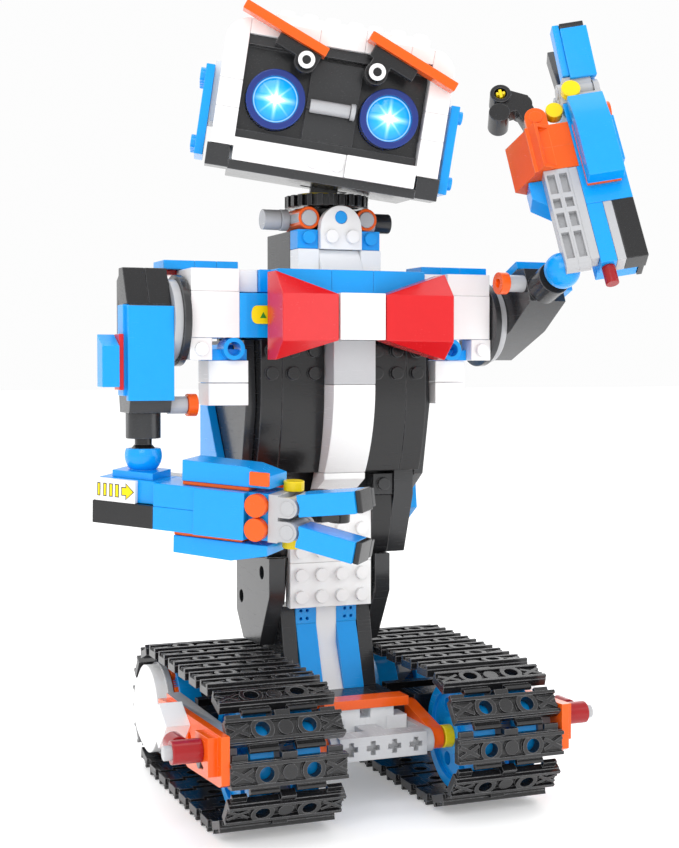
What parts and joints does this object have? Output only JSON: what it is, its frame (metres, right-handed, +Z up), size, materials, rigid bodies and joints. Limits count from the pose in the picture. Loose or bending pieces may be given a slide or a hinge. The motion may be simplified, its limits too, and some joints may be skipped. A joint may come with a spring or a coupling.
{
  "type": "brick-built humanoid robot toy",
  "caption": "Brick-built humanoid robot on crawler tracks, with a turning head, glowing eyes, tilting brows, a bow tie and arms with gripping hands.",
  "frame": {"origin": "centre of the bounding box at ground level, under the tracks", "axes": "+Z up, the robot faces -Y, +X is the robot's left"},
  "size_m": [0.1914, 0.1312, 0.2827],
  "materials": {
    "blue_plastic": "glossy moulded plastic",
    "white_plastic": "glossy moulded plastic",
    "dark_grey_plastic": "glossy moulded plastic",
    "black_plastic": "glossy moulded plastic",
    "light_grey_plastic": "glossy moulded plastic",
    "red_plastic": "glossy moulded plastic",
    "orange_plastic": "glossy moulded plastic",
    "deep_blue_plastic": "glossy moulded plastic",
    "steel": "brushed",
    "eye_glow": "clear lens lit from behind"
  },
  "bodies": {
    "torso_and_base": {"chassis_frame": "dark_grey_plastic", "track_links_right": "black_plastic", "track_links_left": "black_plastic", "side_armour": "orange_plastic", "axle_sockets": "red_plastic", "drive_motors": "black_plastic", "front_bricks": "white_plastic", "grey_beams": "light_grey_plastic", "orange_beams": "orange_plastic", "waist_slopes": "white_plastic", "waist_frames": "dark_grey_plastic", "belly_plates": "white_plastic", "chest_slopes": "black_plastic", "chest_centre": "white_plastic", "battery_box": "dark_grey_plastic", "battery_cells": "steel", "back_cover": "dark_grey_plastic", "shoulder_blocks": "white_plastic", "badge_bricks": "blue_plastic", "collar_beam": "blue_plastic", "side_panels": "blue_plastic", "bow_tie_wings": "red_plastic", "bow_tie_knot": "white_plastic", "neck_bricks": "dark_grey_plastic", "neck_bracket": "white_plastic", "neck_pins": "orange_plastic"},
    "front_wheel_right_body": {"front_wheel_right": "blue_plastic", "front_axle_right": "black_plastic"},
    "front_wheel_left_body": {"front_wheel_left": "blue_plastic", "front_axle_left": "black_plastic"},
    "rear_wheel_right_body": {"rear_wheel_right": "blue_plastic", "rear_axle_right": "black_plastic"},
    "rear_wheel_left_body": {"rear_wheel_left": "blue_plastic", "rear_axle_left": "black_plastic"},
    "button": {"power_button": "red_plastic"},
    "neck": {"neck_gear": "black_plastic"},
    "head": {"head_frame": "white_plastic", "head_shell": "dark_grey_plastic", "head_base": "dark_grey_plastic", "head_hinge_pin": "light_grey_plastic", "eye_rings": "deep_blue_plastic", "eye_lenses": "eye_glow", "face_rods": "light_grey_plastic", "ear_plates": "blue_plastic"},
    "brow_right": {"right_eyebrow": "orange_plastic"},
    "brow_left": {"left_eyebrow": "orange_plastic"},
    "right_arm": {"right_upper_arm": "dark_grey_plastic"},
    "right_elbow": {"right_elbow_ball": "black_plastic"},
    "right_lower_arm": {"right_forearm": "blue_plastic", "right_hand_trim": "light_grey_plastic"},
    "right_finger_u": {"right_finger_upper": "blue_plastic"},
    "right_finger_l": {"right_finger_lower": "blue_plastic"},
    "right_thumb_b": {"right_thumb": "black_plastic"},
    "left_arm": {"left_upper_arm": "dark_grey_plastic"},
    "left_elbow": {"left_elbow_ball": "black_plastic"},
    "left_lower_arm": {"left_forearm": "blue_plastic", "left_hand_trim": "light_grey_plastic"},
    "left_finger_u": {"left_finger_upper": "blue_plastic"},
    "left_finger_l": {"left_finger_lower": "blue_plastic"},
    "left_thumb_b": {"left_thumb": "black_plastic"}
  },
  "joints": [
    {"name": "right_drive", "type": "hinge", "parent": "torso_and_base", "child": "front_wheel_right_body", "pos_m": [-0.04658, -0.03795, 0.0246], "axis": [1, 0, 0], "continuous": true},
    {"name": "right_idler", "type": "hinge", "parent": "torso_and_base", "child": "rear_wheel_right_body", "pos_m": [-0.04658, 0.04205, 0.0246], "axis": [1, 0, 0], "continuous": true},
    {"name": "left_drive", "type": "hinge", "parent": "torso_and_base", "child": "front_wheel_left_body", "pos_m": [0.03342, -0.03795, 0.0246], "axis": [1, 0, 0], "continuous": true},
    {"name": "left_idler", "type": "hinge", "parent": "torso_and_base", "child": "rear_wheel_left_body", "pos_m": [0.03342, 0.04205, 0.0246], "axis": [1, 0, 0], "continuous": true},
    {"name": "power_press", "type": "slide", "parent": "torso_and_base", "child": "button", "axis": [0, -1, 0], "range_m": [0, 0.0015], "stiffness_N_per_m": 250},
    {"name": "neck_turn", "type": "hinge", "parent": "torso_and_base", "child": "neck", "pos_m": [-0.00658, 0.00955, 0.212], "axis": [0, 0, 1], "range_deg": [-40, 60]},
    {"name": "head_tilt", "type": "hinge", "parent": "neck", "child": "head", "pos_m": [-0.00658, 0.00956, 0.226], "axis": [0.2838, 0.9561, 0.0736], "range_deg": [-10, 0]},
    {"name": "right_brow_tilt", "type": "hinge", "parent": "head", "child": "brow_right", "pos_m": [-0.02634, -0.0205, 0.25823], "axis": [0.2838, 0.9561, 0.0736], "range_deg": [-30, 15]},
    {"name": "left_brow_tilt", "type": "hinge", "parent": "head", "child": "brow_left", "pos_m": [-0.00314, -0.02711, 0.25458], "axis": [0.2838, 0.9561, 0.0736], "range_deg": [-40, 8]},
    {"name": "right_shoulder", "type": "hinge", "parent": "torso_and_base", "child": "right_arm", "pos_m": [-0.06408, 0.00205, 0.17], "axis": [1, 0, 0], "range_deg": [-100, 0]},
    {"name": "left_shoulder", "type": "hinge", "parent": "torso_and_base", "child": "left_arm", "pos_m": [0.05092, 0.00205, 0.17], "axis": [1, 0, 0], "range_deg": [-15, 110]},
    {"name": "right_elbow_twist", "type": "hinge", "parent": "right_arm", "child": "right_elbow", "pos_m": [-0.07808, 0.00205, 0.123], "axis": [0, 0, 1], "range_deg": [-80, 0]},
    {"name": "left_elbow_twist", "type": "hinge", "parent": "left_arm", "child": "left_elbow", "pos_m": [0.06332, -0.04138, 0.18799], "axis": [0, 0.9239, -0.3827], "range_deg": [-8, 55]},
    {"name": "right_elbow_bend", "type": "hinge", "parent": "right_elbow", "child": "right_lower_arm", "pos_m": [-0.07808, 0.00205, 0.123], "axis": [0.7071, 0.7071, 0], "range_deg": [0, 18]},
    {"name": "left_elbow_bend", "type": "hinge", "parent": "left_elbow", "child": "left_lower_arm", "pos_m": [0.06332, -0.04138, 0.18799], "axis": [1, 0, 0], "range_deg": [-15, 15]},
    {"name": "right_finger_upper_curl", "type": "hinge", "parent": "right_lower_arm", "child": "right_finger_u", "pos_m": [-0.03498, -0.04, 0.10832], "axis": [0.7084, 0.7025, 0.0679], "range_deg": [-30, 3]},
    {"name": "right_finger_lower_curl", "type": "hinge", "parent": "right_lower_arm", "child": "right_finger_l", "pos_m": [-0.03494, -0.03927, 0.10035], "axis": [0.7084, 0.7025, 0.0679], "range_deg": [-3, 30]},
    {"name": "right_thumb_curl", "type": "hinge", "parent": "right_lower_arm", "child": "right_thumb_b", "pos_m": [-0.03209, -0.02134, 0.10603], "axis": [-0.005, -0.0912, 0.9958], "range_deg": [-15, 20]},
    {"name": "left_finger_upper_curl", "type": "hinge", "parent": "left_lower_arm", "child": "left_finger_u", "pos_m": [0.08097, -0.01365, 0.25192], "axis": [0.9252, -0.3442, 0.1597], "range_deg": [-30, 3]},
    {"name": "left_finger_lower_curl", "type": "hinge", "parent": "left_lower_arm", "child": "left_finger_l", "pos_m": [0.07794, -0.02024, 0.2553], "axis": [0.9252, -0.3442, 0.1597], "range_deg": [-3, 30]},
    {"name": "left_thumb_curl", "type": "hinge", "parent": "left_lower_arm", "child": "left_thumb_b", "pos_m": [0.06542, -0.01675, 0.2414], "axis": [-0.3792, -0.8231, 0.4226], "range_deg": [-15, 20]}
  ],
  "couplings": [
    {"joint": "right_idler", "follows": "right_drive", "ratio": 1},
    {"joint": "left_idler", "follows": "left_drive", "ratio": 1}
  ]
}
